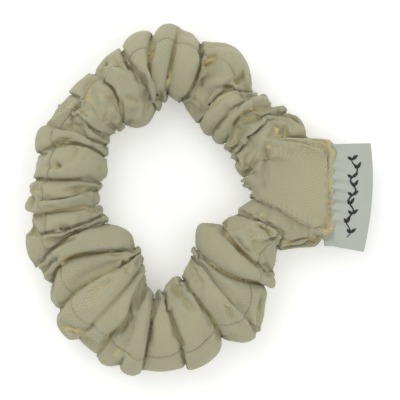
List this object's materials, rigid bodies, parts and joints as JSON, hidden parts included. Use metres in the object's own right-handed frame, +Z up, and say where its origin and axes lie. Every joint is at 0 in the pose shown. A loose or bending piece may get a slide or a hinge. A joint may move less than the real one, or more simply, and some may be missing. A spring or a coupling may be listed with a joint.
{
  "type": "scrunchie",
  "caption": "Gathered jersey sleeve round a loop of braided elastic, with a folded satin label caught in the closing seam.",
  "frame": {"origin": "under the centre of the whole piece, label included, on the surface it lies on", "axes": "+Z up out of the loop, +X from the loop's centre towards the label, +Y along the seam that holds the label"},
  "size_m": [0.1004, 0.103, 0.017],
  "materials": {
    "jersey": "matt brushed cotton jersey, sage grey-green",
    "elastic": "braided polyester over rubber",
    "thread": "spun polyester sewing thread",
    "satin_ribbon": "woven-edge satin ribbon, sheen along its length",
    "label_ink": "matt black print"
  },
  "bodies": {
    "label_end": {"sleeve_label_end": "jersey", "elastic_label_end": "elastic", "elastic_lap": "elastic", "elastic_lap_stitches": "thread", "seam_thread_label_end": "thread", "closing_stitches": "thread", "label_tails": "satin_ribbon"},
    "upper_run": {"sleeve_upper_run": "jersey", "elastic_upper_run": "elastic", "seam_thread_upper_run": "thread"},
    "lower_run": {"sleeve_lower_run": "jersey", "elastic_lower_run": "elastic", "seam_thread_lower_run": "thread"},
    "far_bend": {"sleeve_far_bend": "jersey", "elastic_far_bend": "elastic", "seam_thread_far_bend": "thread", "cross_seam_thread": "thread"},
    "label_flap": {"label_ribbon": "satin_ribbon", "label_print": "label_ink"}
  },
  "joints": [
    {"name": "stretch", "type": "slide", "parent": "label_end", "child": "far_bend", "axis": [-1, 0, 0], "range_m": [0, 0.09], "stiffness_N_per_m": 60},
    {"name": "upper_run_stretch", "type": "slide", "parent": "label_end", "child": "upper_run", "axis": [-1, 0, 0], "range_m": [0, 0.045]},
    {"name": "lower_run_stretch", "type": "slide", "parent": "label_end", "child": "lower_run", "axis": [-1, 0, 0], "range_m": [0, 0.045]},
    {"name": "label_fold", "type": "hinge", "parent": "label_end", "child": "label_flap", "pos_m": [0.03895, 0, 0.0085], "axis": [0, -1, 0], "range_deg": [-40, 90], "stiffness_Nm_per_rad": 0.002}
  ],
  "couplings": [
    {"joint": "upper_run_stretch", "follows": "stretch", "ratio": 0.5},
    {"joint": "lower_run_stretch", "follows": "stretch", "ratio": 0.5}
  ]
}
